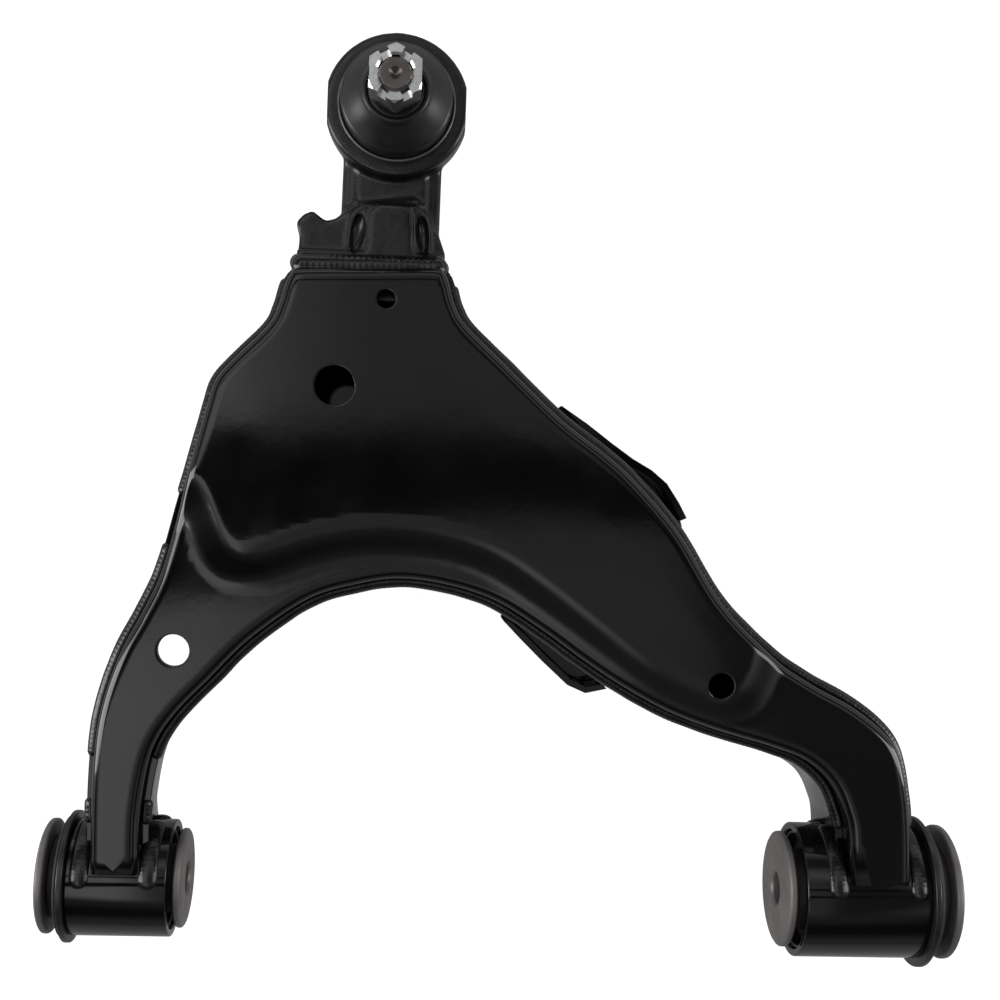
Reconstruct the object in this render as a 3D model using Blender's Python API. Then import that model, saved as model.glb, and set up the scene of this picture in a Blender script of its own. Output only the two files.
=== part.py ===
"""Lower suspension control arm: two pressed shells welded round two eye tubes and a forged ball joint end.

The frame: origin at the middle of the pivot axis, +X along that axis towards the large bush,
+Y towards the ball joint, +Z the way the ball stud points. Sizes below are in millimetres.
"""

import math

import bmesh
import bpy
from mathutils import Matrix, Vector
from mathutils.geometry import delaunay_2d_cdt, intersect_point_line

MM = 0.001
GAP = 0.3

# Pressed shells
SHEET = 3.2
SHOULDER = 4.5
UPPER_RIM_Z = 4.0
LOWER_RIM_Z = 20.0
LOWER_BEND_Z = 2.0
LOWER_FLOOR_Z = -28.0
LOWER_WALL_OFFSET = SHEET + GAP
OUTLINE_STEP = 9.0
GRID_STEP = 17.0
LEFT_LEG_TOP = 30.0
RIGHT_LEG_TOP = 33.5
PLATEAU_TOP = 38.0
PLATEAU_SLOPE = 16.0
LEG_END_Y = {"small": 8.5, "large": 11.0}

# The outer wall of the upper shell, seen from +Z, anticlockwise from the small eye.
ARM_OUTLINE = (
    (-193.5, -14), (-171, -14), (-172, 18), (-172, 38), (-169, 61), (-164, 75), (-155, 88),
    (-141.5, 102.5), (-122.5, 122.5), (-96, 142), (-73, 150), (-51.5, 153.5), (-28, 151), (-5, 144),
    (18, 130.5), (37, 117.5), (57, 105), (80.5, 93), (105, 84.5), (131, 77.5), (149, 71), (162, 60),
    (169, 46), (172, 31), (173, -14), (204, -14), (203.5, 11), (202, 41.5), (199, 62), (194.5, 76.5),
    (186, 87), (170.5, 98), (151, 108), (131.5, 120.5), (104.5, 146), (81.5, 180.5), (59, 205),
    (44, 217.5), (22.5, 233), (-5.5, 258.5), (-24, 275.5), (-30, 285), (-33.5, 296), (-36, 301),
    (-41, 302.5), (-72.5, 301), (-103.5, 299.5), (-108.5, 297.5), (-111, 292), (-113.5, 282.5),
    (-118.5, 272), (-135, 254.5), (-142, 245.5), (-145.5, 234), (-152, 207.5), (-157, 188), (-165.5, 154),
    (-174.5, 133), (-182.5, 117), (-189, 99), (-193, 81.5), (-194.5, 65), (-195, 43), (-194.5, 15),
)
# The raised middle of the upper shell. It runs past the outline where the face is flat to its edge.
PLATEAU = (
    (-168, 320), (-3, 330), (8, 276), (71, 228), (115, 174), (128, 133), (124.5, 110.5), (115.5, 98),
    (99, 97), (70.5, 109.5), (44.5, 127.5), (18.5, 146), (-7.5, 162), (-32.5, 169.5), (-62, 171.5),
    (-91, 166.5), (-119.5, 157), (-137.5, 160.5), (-150, 185.5), (-166, 218.5),
)
UPPER_HOLES = (((-63, 286.5), 4.5), ((-86, 244.5), 9.5), ((104.5, 107), 6.2))
THROUGH_HOLE = (-158.5, 116)
THROUGH_HOLE_R = 7.7
CUT_REACH = 60.0
PAD_TOP_R = 12.5
PAD_BASE_R = 19.0
# Where the lower shell's wall leans outwards (or inwards) down to its floor: centre, width, reach.
FLARES = (((138, 72), 16.0, 5.0), ((86, 85), 13.0, 3.0), ((-170, 45), 22.0, -4.5))

# Bushes: a is the distance outwards from the bush centre, along the pivot axis.
BUSH_X = 187.5
BOLT_BORE_R = 8.0
INNER_TUBE_R = 12.0
BUSHES = {
    "small": {
        "side": -1, "tube_r": 28.3, "tube_a": (-29.0, 18.8), "flange_r": 31.8, "flange_a": (19.1, 22.0),
        "outer_plate_r": 27.7, "outer_plate_a": (29.3, 33.7), "inner_plate_r": 24.0,
        "inner_plate_a": (-35.5, -31.4), "neck_r": 16.2,
    },
    "large": {
        "side": 1, "tube_r": 33.1, "tube_a": (-35.5, 26.5), "flange_r": 37.4, "flange_a": (26.8, 29.8),
        "outer_plate_r": 33.2, "outer_plate_a": (38.9, 43.4), "inner_plate_r": 28.5,
        "inner_plate_a": (-43.4, -39.0), "neck_r": 19.0,
    },
}
TUBE_WALL = 3.5
SLEEVE_WALL = 1.8
PLATE_EDGE = 1.2

# Ball joint: h is the height above the ball centre, along the stud.
BALL_CENTRE = (-61.5, 384.4, 0.0)
BALL_R = 15.0
LINER_R = (15.3, 17.0)
SEAT_INNER_R = 17.3
SEAT_OUTER_R = 19.7
HOUSING_R = 34.5
HOUSING_FLAT = 33.3
HOUSING_H = (-26.5, 18.0)
HOUSING_TAPER_H = 3.0
HOUSING_FOOT_R = 28.5
HOUSING_LIP = 3.0
HOUSING_LIP_R = 22.5
MOUTH_R = 20.5
NECK_WIDTH_X = (-87.0, -38.4)
NECK_Z = (-16.0, 13.0)
SHANK_X = (-105.0, -38.2)
SHANK_Y = (286.0, 312.0)
SHANK_Z = (-23.0, 23.0)
BOSS_X = (-80.5, -45.0)
BOSS_Y = (309.5, 333.0)
BOSS_TOP = 24.0
HORN = (
    (-80, 334), (-87.5, 329.5), (-93.5, 327), (-101, 331.5), (-108.5, 325.5), (-106.5, 318),
    (-108.5, 308), (-108.5, 304.4), (-35.2, 308.2), (-35.2, 314), (-50, 336),
)
HORN_Z = (-14.0, 18.0)
NUT_FLATS = 24.0
NUT_H = (51.5, 70.0)
NUT_BORE_R = 8.2
SLOT_WIDTH = 4.5
SLOT_DEPTH = 6.0
THREAD_R = 7.9
STUD_END = 68.7

# Shock absorber bracket, on the face away from the stud
SADDLE_OUTLINE = (
    (27, 242.5), (41, 233.5), (54, 224), (65, 216.5), (75, 211), (83, 204.5), (89.5, 195),
    (95, 181.5), (89, 152), (73, 120), (55.5, 98), (44.5, 95.5), (35, 99.5), (21.5, 111.5), (10, 122.5),
    (1, 131.5), (8, 165), (14, 206),
)
SADDLE_Z = (-32.0, -28.3)
SADDLE_WALL_TOP = -9.0
SADDLE_WALL = 3.6
OUTER_WALL_POINTS = slice(0, 8)
ARCH_WALL_POINTS = slice(10, 16)
SHOCK_CENTRE = (46.0, 166.0)
SHOCK_GAP = 46.0
EAR_THICK = 5.0
EAR_TOP_Z = -32.3
EAR_HALF_BASE = 29.0
EAR_TIP_R = 19.0
BOLT_Z = -61.0
SHOCK_HOLE_R = 7.3
WELD_NUT_FLATS = 24.0
WELD_NUT_HEIGHT = 12.0

BIG_ROUND = 32
SMALL_ROUND = 24


def clear_scene():
    for obj in list(bpy.data.objects):
        bpy.data.objects.remove(obj, do_unlink=True)


def material(name, colour, metallic, roughness):
    made = bpy.data.materials.new(name)
    made.use_nodes = True
    shader = made.node_tree.nodes["Principled BSDF"]
    shader.inputs["Base Color"].default_value = (*colour, 1.0)
    shader.inputs["Metallic"].default_value = metallic
    shader.inputs["Roughness"].default_value = roughness
    return made


def black_paint(name):
    return material(name, (0.012, 0.012, 0.013), 0.0, 0.22)


def bare_steel(name):
    return material(name, (0.35, 0.33, 0.33), 0.9, 0.45)


def zinc_plate(name):
    return material(name, (0.78, 0.79, 0.8), 1.0, 0.2)


def black_rubber(name):
    return material(name, (0.025, 0.025, 0.025), 0.0, 0.65)


def white_acetal(name):
    return material(name, (0.8, 0.79, 0.74), 0.0, 0.4)


def new_object(name, bm, finish, frame):
    """Turns a bmesh into a smooth-shaded object. The mesh is in metres, in the frame's own axes."""
    bmesh.ops.remove_doubles(bm, verts=bm.verts, dist=1e-7)
    bmesh.ops.recalc_face_normals(bm, faces=bm.faces)
    bmesh.ops.scale(bm, vec=(MM, MM, MM), verts=bm.verts)
    mesh = bpy.data.meshes.new(name)
    bm.to_mesh(mesh)
    bm.free()
    mesh.shade_smooth()
    mesh.set_sharp_from_angle(angle=math.radians(35))
    obj = bpy.data.objects.new(name, mesh)
    bpy.context.scene.collection.objects.link(obj)
    obj.matrix_world = frame
    if finish:
        mesh.materials.append(finish(name))
    return obj


def helper(obj):
    """Hides a solid that only cuts or joins another."""
    obj.hide_render = True
    obj.display_type = "WIRE"
    return obj


def combine(obj, other, operation):
    modifier = obj.modifiers.new(other.name, "BOOLEAN")
    modifier.operation = operation
    modifier.solver = "EXACT"
    modifier.object = helper(other)


def cut(obj, cutter):
    combine(obj, cutter, "DIFFERENCE")


def join(obj, other):
    combine(obj, other, "UNION")


def place(x=0.0, y=0.0, z=0.0):
    return Matrix.Translation(Vector((x, y, z)) * MM)


def turned(name, profile, finish, frame=None, rounds=BIG_ROUND):
    """Spins a closed outline of (height, radius) points about the frame's Z axis."""
    bm = bmesh.new()
    verts = [bm.verts.new((radius, 0, height)) for height, radius in profile]
    edges = [bm.edges.new((a, b)) for a, b in zip(verts, verts[1:] + verts[:1]) if a.co.x + b.co.x > 0]
    bmesh.ops.spin(
        bm, geom=verts + edges, cent=(0, 0, 0), axis=(0, 0, 1), angle=math.tau, steps=rounds, use_merge=True
    )
    bmesh.ops.remove_doubles(bm, verts=bm.verts, dist=1e-4)
    return new_object(name, bm, finish, frame or Matrix())


def prism(name, outline, low, high, finish, frame=None):
    """Extrudes a closed outline of (x, y) points from low to high along the frame's Z axis."""
    bm = bmesh.new()
    face = bm.faces.new([bm.verts.new((x, y, low)) for x, y in outline])
    top = bmesh.ops.extrude_face_region(bm, geom=[face])
    moved = [item for item in top["geom"] if isinstance(item, bmesh.types.BMVert)]
    bmesh.ops.translate(bm, vec=(0, 0, high - low), verts=moved)
    bmesh.ops.triangulate(bm, faces=bm.faces)
    return new_object(name, bm, finish, frame or Matrix())


def box(name, low, high, finish=None):
    outline = ((low[0], low[1]), (high[0], low[1]), (high[0], high[1]), (low[0], high[1]))
    return prism(name, outline, low[2], high[2], finish)


def drill(name, centre, radius, low, high, frame=None):
    """A round cutter along the frame's Z axis."""
    return turned(
        name, ((low, 0), (high, 0), (high, radius), (low, radius)), None,
        (frame or Matrix()) @ place(*centre), SMALL_ROUND,
    )


def arc(radius, start, end, count, centre=(0.0, 0.0)):
    """Points (height, radius) along a circle, with angles in degrees measured from the axis."""
    angles = [math.radians(start + (end - start) * i / count) for i in range(count + 1)]
    return [(centre[0] + radius * math.cos(a), centre[1] + radius * math.sin(a)) for a in angles]


# Pressed shells


def smooth_loop(points, step):
    """A closed Catmull-Rom curve through the points, sampled about every step."""
    knots = [Vector(point) for point in points]
    loop = []
    for i, start in enumerate(knots):
        before, end, after = knots[i - 1], knots[(i + 1) % len(knots)], knots[(i + 2) % len(knots)]
        count = max(1, round((end - start).length / step))
        for j in range(count):
            t = j / count
            bend = (end - before) * t
            bend += (2 * before - 5 * start + 4 * end - after) * t**2
            bend += (3 * start - before - 3 * end + after) * t**3
            loop.append(start + bend / 2)
    return loop


def offset_loop(loop, distance):
    """Moves each point of an anticlockwise loop outwards. The distance is a number or a function."""
    moved = []
    for i, point in enumerate(loop):
        along = (loop[(i + 1) % len(loop)] - loop[i - 1]).normalized()
        reach = distance(point) if callable(distance) else distance
        moved.append(point + Vector((along.y, -along.x)) * reach)
    return moved


def smooth_step(value):
    value = min(max(value, 0.0), 1.0)
    return value * value * (3 - 2 * value)


def inside(point, polygon):
    crossings = 0
    for (ax, ay), (bx, by) in zip(polygon, polygon[1:] + polygon[:1]):
        if (ay > point[1]) != (by > point[1]):
            crossings += point[0] < ax + (bx - ax) * (point[1] - ay) / (by - ay)
    return crossings % 2 == 1


def edge_distance(point, polygon):
    """The distance from a point to a polygon's nearest edge, positive inside."""
    nearest = math.inf
    for a, b in zip(polygon, polygon[1:] + polygon[:1]):
        foot, along = intersect_point_line(Vector(point), Vector(a), Vector(b))
        along = min(max(along, 0.0), 1.0)
        foot = Vector(a).lerp(Vector(b), along)
        nearest = min(nearest, (Vector(point) - foot).length)
    return nearest if inside(point, polygon) else -nearest


def face_height(point):
    """The height of the upper shell's face: two legs, and the raised middle that slopes down to them."""
    across = smooth_step((point[0] + BUSH_X) / (2 * BUSH_X))
    leg = LEFT_LEG_TOP + (RIGHT_LEG_TOP - LEFT_LEG_TOP) * across
    raised = smooth_step(edge_distance(point, PLATEAU) / PLATEAU_SLOPE + 0.5)
    return leg + (PLATEAU_TOP - leg) * raised


def grid_inside(loop, margin):
    """Points on a square grid that lie inside the loop, clear of its edge."""
    polygon = [tuple(point) for point in loop]
    xs, ys = [p[0] for p in polygon], [p[1] for p in polygon]
    found = []
    for i in range(int((max(xs) - min(xs)) / GRID_STEP)):
        for j in range(int((max(ys) - min(ys)) / GRID_STEP)):
            point = (min(xs) + (i + 0.5) * GRID_STEP, min(ys) + (j + 0.5) * GRID_STEP)
            if edge_distance(point, polygon) > margin:
                found.append(point)
    return found


def pressed_tray(name, outer_rings, inner_rings, face, extra_points, finish):
    """One sheet bent into a tray. Each ring is (offset, height function) and runs from the face's edge to the rim."""
    loop = smooth_loop(ARM_OUTLINE, OUTLINE_STEP)
    bm = bmesh.new()
    skins = []
    for rings in (outer_rings, inner_rings):
        skin = []
        for offset, height in rings:
            moved = offset_loop(loop, offset)
            skin.append([bm.verts.new((*spot, height(edge))) for spot, edge in zip(moved, loop)])
        skins.append(skin)
    rows = skins[0] + skins[1][::-1]
    for low, high in zip(rows, rows[1:]):
        for i in range(len(loop)):
            bm.faces.new((low[i - 1], low[i], high[i], high[i - 1]))
    for rows, drop in ((skins[0], 0.0), (skins[1], SHEET)):
        ring = rows[0]
        spots = [Vector((v.co.x, v.co.y)) for v in ring]
        middle = [bm.verts.new((*point, face(point) - drop)) for point in extra_points]
        everything = ring + middle
        _, _, faces, _, _, _ = delaunay_2d_cdt(
            spots + [Vector(point) for point in extra_points], [], [list(range(len(ring)))], 1, 1e-5
        )
        for corners in faces:
            bm.faces.new([everything[i] for i in corners])
    return new_object(name, bm, finish, Matrix())


def upper_shell():
    outer = (
        (-SHOULDER, face_height),
        (-0.3 * SHOULDER, lambda p: face_height(p) - 0.3 * SHOULDER),
        (0.0, lambda p: face_height(p) - SHOULDER),
        (0.0, lambda p: UPPER_RIM_Z),
    )
    inner = (
        (-SHOULDER, lambda p: face_height(p) - SHEET),
        (-SHEET, lambda p: face_height(p) - SHOULDER),
        (-SHEET, lambda p: UPPER_RIM_Z),
    )
    loop = offset_loop(smooth_loop(ARM_OUTLINE, OUTLINE_STEP), -SHOULDER)
    points = grid_inside(loop, 0.4 * GRID_STEP)
    shell = pressed_tray("upper_shell", outer, inner, face_height, points, black_paint)
    for i, (centre, radius) in enumerate(UPPER_HOLES):
        cut(shell, drill(f"upper_hole_{i}", centre, radius, UPPER_RIM_Z, PLATEAU_TOP + SHEET))
    cut(shell, drill("upper_through_hole", THROUGH_HOLE, THROUGH_HOLE_R, UPPER_RIM_Z, PLATEAU_TOP))
    return shell


def flare(point):
    """How far the lower shell's wall leans out at its floor."""
    total = 0.0
    for centre, width, reach in FLARES:
        away = (Vector(point) - Vector(centre)).length / width
        total += reach * math.exp(-away * away / 2)
    return total


def lower_shell():
    outer = (
        (lambda p: LOWER_WALL_OFFSET - 5.0 + flare(p), lambda p: LOWER_FLOOR_Z),
        (lambda p: LOWER_WALL_OFFSET - 1.5 + flare(p), lambda p: LOWER_FLOOR_Z + 1.5),
        (lambda p: LOWER_WALL_OFFSET + flare(p), lambda p: LOWER_FLOOR_Z + 5.0),
        (LOWER_WALL_OFFSET, lambda p: LOWER_BEND_Z),
        (LOWER_WALL_OFFSET, lambda p: LOWER_RIM_Z),
    )
    inner = (
        (lambda p: LOWER_WALL_OFFSET - 5.0 + flare(p), lambda p: LOWER_FLOOR_Z + SHEET),
        (lambda p: GAP + flare(p), lambda p: LOWER_FLOOR_Z + 5.0),
        (GAP, lambda p: LOWER_BEND_Z),
        (GAP, lambda p: LOWER_RIM_Z),
    )
    shell = pressed_tray("lower_shell", outer, inner, lambda p: LOWER_FLOOR_Z, [], black_paint)
    pad_top = face_height(THROUGH_HOLE) - SHEET - 2 * GAP
    join(shell, turned(
        "pad_outside",
        (
            (LOWER_FLOOR_Z + 0.5 * SHEET, 0), (pad_top, 0), (pad_top, PAD_TOP_R),
            (LOWER_FLOOR_Z + 0.5 * SHEET, PAD_BASE_R),
        ),
        None, place(*THROUGH_HOLE), SMALL_ROUND,
    ))
    cut(shell, turned(
        "pad_hollow",
        (
            (LOWER_FLOOR_Z - SHEET, 0), (pad_top - SHEET, 0), (pad_top - SHEET, PAD_TOP_R - SHEET),
            (LOWER_FLOOR_Z - SHEET, PAD_BASE_R - SHEET),
        ),
        None, place(*THROUGH_HOLE), SMALL_ROUND,
    ))
    cut(shell, drill("lower_through_hole", THROUGH_HOLE, THROUGH_HOLE_R, 0, PLATEAU_TOP))
    return shell


def fit_shells_round_ends(upper, lower):
    """Opens the shells where they meet the eye tubes and the forged shank."""
    for size, bush in BUSHES.items():
        centre = bush["side"] * BUSH_X
        tube_r = bush["tube_r"] + GAP
        frame = bush_frame(bush)
        for shell in (upper, lower):
            label = f"{shell.name}_{size}"
            cut(shell, turned(
                f"{label}_tube_cut",
                ((-CUT_REACH, 0), (CUT_REACH, 0), (CUT_REACH, tube_r), (-CUT_REACH, tube_r)), None, frame,
            ))
            cut(shell, box(
                f"{label}_end_cut",
                (centre - CUT_REACH, -CUT_REACH, -CUT_REACH), (centre + CUT_REACH, LEG_END_Y[size], CUT_REACH),
            ))
    for shell in (upper, lower):
        cut(shell, box(
            f"{shell.name}_shank_cut",
            (SHANK_X[0] - GAP, SHANK_Y[0], SHANK_Z[0] - GAP),
            (SHANK_X[1] + GAP, SHANK_Y[1], SHANK_Z[1] + GAP),
        ))


# Bushes


def bush_frame(bush):
    """Origin at the bush centre, Z outwards along the pivot axis."""
    turn = Matrix.Rotation(math.radians(90 * bush["side"]), 4, "Y")
    return place(bush["side"] * BUSH_X) @ turn


def bush_parts(size, bush):
    frame = bush_frame(bush)
    tube_in, tube_out = bush["tube_a"]
    tube_r = bush["tube_r"]
    bore_r = tube_r - TUBE_WALL
    turned(
        f"{size}_eye_tube", ((tube_in, bore_r), (tube_out, bore_r), (tube_out, tube_r), (tube_in, tube_r)),
        black_paint, frame,
    )
    sleeve_r = bore_r - GAP
    liner_r = sleeve_r - SLEEVE_WALL
    flange_in, flange_out = bush["flange_a"]
    turned(
        f"{size}_bush_sleeve",
        (
            (tube_in + 2, liner_r), (flange_out, liner_r), (flange_out, bush["flange_r"]),
            (flange_in, bush["flange_r"]), (flange_in, sleeve_r), (tube_in + 2, sleeve_r),
        ),
        black_paint, frame,
    )
    rubber_r = liner_r - GAP
    core_r = INNER_TUBE_R + GAP
    plate_in = bush["outer_plate_a"][0]
    inner_plate_face = bush["inner_plate_a"][1]
    turned(
        f"{size}_bush_rubber",
        (
            (inner_plate_face + GAP, core_r), (plate_in - GAP, core_r), (plate_in - GAP, rubber_r - 2),
            (plate_in - 3.5, rubber_r - 2), (plate_in - 4.5, rubber_r + 3), (flange_out + GAP, bush["flange_r"] - 2.5),
            (flange_out + GAP, rubber_r), (tube_in + 7, rubber_r), (tube_in + 10, bush["neck_r"]),
            (inner_plate_face + GAP, bush["neck_r"]),
        ),
        black_rubber, frame,
    )
    turned(
        f"{size}_pivot_tube",
        (
            (inner_plate_face + GAP, BOLT_BORE_R), (plate_in - GAP, BOLT_BORE_R),
            (plate_in - GAP, INNER_TUBE_R), (inner_plate_face + GAP, INNER_TUBE_R),
        ),
        bare_steel, frame, SMALL_ROUND,
    )
    for place_name in ("outer", "inner"):
        low, high = bush[f"{place_name}_plate_a"]
        radius = bush[f"{place_name}_plate_r"]
        face, back = (high, low) if place_name == "outer" else (low, high)
        inwards = math.copysign(1, back - face)
        turned(
            f"{size}_{place_name}_plate",
            (
                (back, BOLT_BORE_R), (face + inwards * PLATE_EDGE, BOLT_BORE_R), (face, BOLT_BORE_R + PLATE_EDGE),
                (face, radius - PLATE_EDGE), (face + inwards * PLATE_EDGE, radius),
                (back - inwards * PLATE_EDGE, radius), (back, radius - PLATE_EDGE),
            ),
            bare_steel, frame,
        )


# Ball joint


def ball_frame():
    """Origin at the ball centre, Z along the stud."""
    return place(*BALL_CENTRE)


def ball_joint_housing():
    """The forged end: a ring for the ball, a neck with a boss and a horn, and the shank inside the shells."""
    frame = ball_frame()
    low, high = HOUSING_H
    housing = turned(
        "ball_joint_housing",
        (
            (low, 0), (high + HOUSING_LIP, 0), (high + HOUSING_LIP, HOUSING_LIP_R), (high, HOUSING_LIP_R),
            (high, HOUSING_R - 1), (high - 1, HOUSING_R), (HOUSING_TAPER_H, HOUSING_R),
            (HOUSING_TAPER_H - 12, HOUSING_R - 3), (low + 2, HOUSING_FOOT_R), (low, HOUSING_FOOT_R - 1.5),
        ),
        black_paint, frame,
    )
    for side in (-1, 1):
        flat = box(f"housing_flat_{side}", (HOUSING_FLAT, -50, -50), (HOUSING_FLAT + 10, 50, 50))
        flat.matrix_world = frame @ Matrix.Rotation(math.radians(90 - 90 * side), 4, "Z")
        cut(housing, flat)
    join(housing, box(
        "neck", (NECK_WIDTH_X[0], SHANK_Y[0] + 2, NECK_Z[0]), (NECK_WIDTH_X[1], BALL_CENTRE[1] - 15, NECK_Z[1])
    ))
    join(housing, prism("horn", HORN, *HORN_Z, None))
    join(housing, box(
        "boss", (BOSS_X[0], BOSS_Y[0], NECK_Z[0] + 4), (BOSS_X[1], BOSS_Y[1], BOSS_TOP)
    ))
    join(housing, box(
        "shank", (SHANK_X[0], SHANK_Y[0] + GAP, SHANK_Z[0]), (SHANK_X[1], SHANK_Y[1] - GAP, SHANK_Z[1])
    ))
    cut(housing, turned(
        "ball_bore",
        (
            (low - 5, 0), (high + 10, 0), (high + 10, MOUTH_R), (high + HOUSING_LIP, MOUTH_R),
            (high, MOUTH_R - 1.8), (9.5, 13.5),
            (9.5, 20.0), (-20.0, 20.0), (-20.0, 22.0), (-24.0, 22.0), (-24.0, 20.0), (low - 5, 20.0),
        ),
        None, frame,
    ))
    return housing


def ball_joint_parts():
    frame = ball_frame()
    seat_arc = arc(SEAT_INNER_R, 138, 58, 7)
    turned(
        "ball_seat", seat_arc + [(9.17, SEAT_OUTER_R), (seat_arc[0][0], SEAT_OUTER_R)], white_acetal, frame
    )
    turned(
        "ball_liner", arc(LINER_R[0], 137, 80, 5) + arc(LINER_R[1], 80, 137, 5), white_acetal, frame
    )
    turned(
        "preload_spring",
        ((-19.7, 15.5), (-17.6, 8.0), (-16.6, 8.3), (-18.2, 19.3), (-19.7, 19.3)), bare_steel, frame,
    )
    turned(
        "end_cap",
        ((-23.7, 0), (-21.6, 0), (-21.6, 14.0), (-20.3, 16.0), (-20.3, 21.7), (-23.7, 21.7)), bare_steel, frame,
    )
    turned(
        "dust_boot",
        (
            (18.3, 22.9), (18.3, 27.0), (22.5, 27.0), (24.5, 25.6), (28.5, 27.0), (30.0, 26.6),
            (42.0, 17.0), (44.3, 15.8), (44.3, 13.6), (38.0, 13.6), (36.0, 16.6), (28.6, 23.4), (24.0, 22.9),
        ),
        black_rubber, frame,
    )
    turned("boot_base_ring", ((18.5, 27.3), (18.5, 28.9), (21.8, 28.9), (21.8, 27.3)), bare_steel, frame)
    turned(
        "boot_neck_ring", ((38.2, 9.8), (38.2, 13.3), (43.8, 13.3), (43.8, 11.0), (42.6, 9.8)), black_rubber,
        frame, SMALL_ROUND,
    )
    turned(
        "ball_stud",
        arc(BALL_R, 160, 30, 8) + [
            (20.0, 7.5), (29.0, 9.6), (50.0, 8.4), (50.6, THREAD_R), (STUD_END - 1, THREAD_R),
            (STUD_END, THREAD_R - 1), (STUD_END, 2.5), (STUD_END - 2.5, 0), (-14.1, 0),
        ],
        bare_steel, frame, SMALL_ROUND,
    )


def hexagon(across_flats, lean=0.0):
    corner = across_flats / math.sqrt(3)
    return [
        (corner * math.cos(lean + math.tau * i / 6), corner * math.sin(lean + math.tau * i / 6))
        for i in range(6)
    ]


def castle_nut():
    frame = ball_frame()
    low, high = NUT_H
    nut = prism("castle_nut", hexagon(NUT_FLATS, math.radians(30)), low, high, zinc_plate, frame)
    cut(nut, drill("nut_bore", (0, 0, 0), NUT_BORE_R, low - 5, high + 5, frame))
    for i in range(3):
        half = SLOT_WIDTH / 2
        slot = box(f"nut_slot_{i}", (-30, -half, high - SLOT_DEPTH), (30, half, high + 5))
        slot.matrix_world = frame @ Matrix.Rotation(math.radians(60 * i), 4, "Z")
        cut(nut, slot)


# Shock absorber bracket


def saddle_wall(name, side):
    """A strip of the saddle's outline, thickened inwards."""
    loop = [Vector(point) for point in SADDLE_OUTLINE]
    outer = loop[side]
    inner = offset_loop(loop, SADDLE_WALL)[side]
    clockwise_inside = [tuple(p) for p in outer] + [tuple(p) for p in reversed(inner)]
    return prism(name, clockwise_inside, SADDLE_Z[0] + 0.4, SADDLE_WALL_TOP, None)


def shock_bracket():
    saddle = prism("shock_bracket_saddle", SADDLE_OUTLINE, *SADDLE_Z, black_paint)
    join(saddle, saddle_wall("outer_saddle_wall", OUTER_WALL_POINTS))
    join(saddle, saddle_wall("arch_saddle_wall", ARCH_WALL_POINTS))
    to_row = Matrix(((0, 0, 1, 0), (1, 0, 0, 0), (0, 1, 0, 0), (0, 0, 0, 1)))
    tip = [
        (EAR_TIP_R * math.cos(math.radians(a)), BOLT_Z + EAR_TIP_R * math.sin(math.radians(a)))
        for a in range(-165, 0, 15)
    ]
    outline = [(-EAR_HALF_BASE, EAR_TOP_Z)] + tip + [(EAR_HALF_BASE, EAR_TOP_Z)]
    for side, name in ((-1, "inner_shock_ear"), (1, "outer_shock_ear")):
        near = side * SHOCK_GAP / 2
        far = near + side * EAR_THICK
        frame = place(SHOCK_CENTRE[0], SHOCK_CENTRE[1]) @ to_row
        ear = prism(name, outline, min(near, far), max(near, far), black_paint, frame)
        cut(ear, drill(f"{name}_hole", (0, BOLT_Z, 0), SHOCK_HOLE_R, -CUT_REACH, CUT_REACH, frame))
    nut_face = -SHOCK_GAP / 2 - EAR_THICK - GAP
    nut_frame = place(SHOCK_CENTRE[0], SHOCK_CENTRE[1], BOLT_Z) @ to_row
    nut = prism(
        "shock_bolt_nut", hexagon(WELD_NUT_FLATS), nut_face - WELD_NUT_HEIGHT, nut_face, zinc_plate, nut_frame
    )
    cut(nut, drill("shock_nut_bore", (0, 0, 0), SHOCK_HOLE_R, -CUT_REACH, CUT_REACH, nut_frame))


def main():
    clear_scene()
    upper = upper_shell()
    lower = lower_shell()
    fit_shells_round_ends(upper, lower)
    for size, bush in BUSHES.items():
        bush_parts(size, bush)
    ball_joint_housing()
    ball_joint_parts()
    castle_nut()
    shock_bracket()


main()
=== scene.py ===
"""Looks of the control arm: finer pressings, welds, forging, bushes and ball joint round the CAD frame.

The row frame: origin at the middle of the pivot axis, +X towards the large bush, +Y towards the ball
joint, +Z the way the ball stud points. Sizes are in millimetres until a mesh is made.
"""

import math
import random

import bmesh
import bpy
import numpy as np
from mathutils import Matrix, Vector
from mathutils.geometry import delaunay_2d_cdt

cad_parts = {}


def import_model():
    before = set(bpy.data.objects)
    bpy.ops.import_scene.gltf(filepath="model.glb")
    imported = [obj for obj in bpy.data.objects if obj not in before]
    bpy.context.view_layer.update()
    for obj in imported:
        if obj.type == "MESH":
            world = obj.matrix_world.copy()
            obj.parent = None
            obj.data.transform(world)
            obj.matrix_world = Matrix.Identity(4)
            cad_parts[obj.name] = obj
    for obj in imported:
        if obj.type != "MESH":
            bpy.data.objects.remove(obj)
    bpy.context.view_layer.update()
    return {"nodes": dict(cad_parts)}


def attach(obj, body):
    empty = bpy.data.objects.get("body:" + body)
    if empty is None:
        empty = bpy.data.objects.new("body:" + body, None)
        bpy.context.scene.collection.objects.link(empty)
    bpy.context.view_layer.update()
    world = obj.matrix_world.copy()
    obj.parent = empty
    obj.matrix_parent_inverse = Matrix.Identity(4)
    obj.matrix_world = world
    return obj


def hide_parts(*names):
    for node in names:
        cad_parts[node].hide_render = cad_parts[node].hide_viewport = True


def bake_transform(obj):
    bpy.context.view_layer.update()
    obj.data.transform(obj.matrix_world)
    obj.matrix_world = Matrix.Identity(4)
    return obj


MM = 0.001
BALL = (-61.5, 384.4, 0.0)
BUSH_X = 187.5
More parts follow.
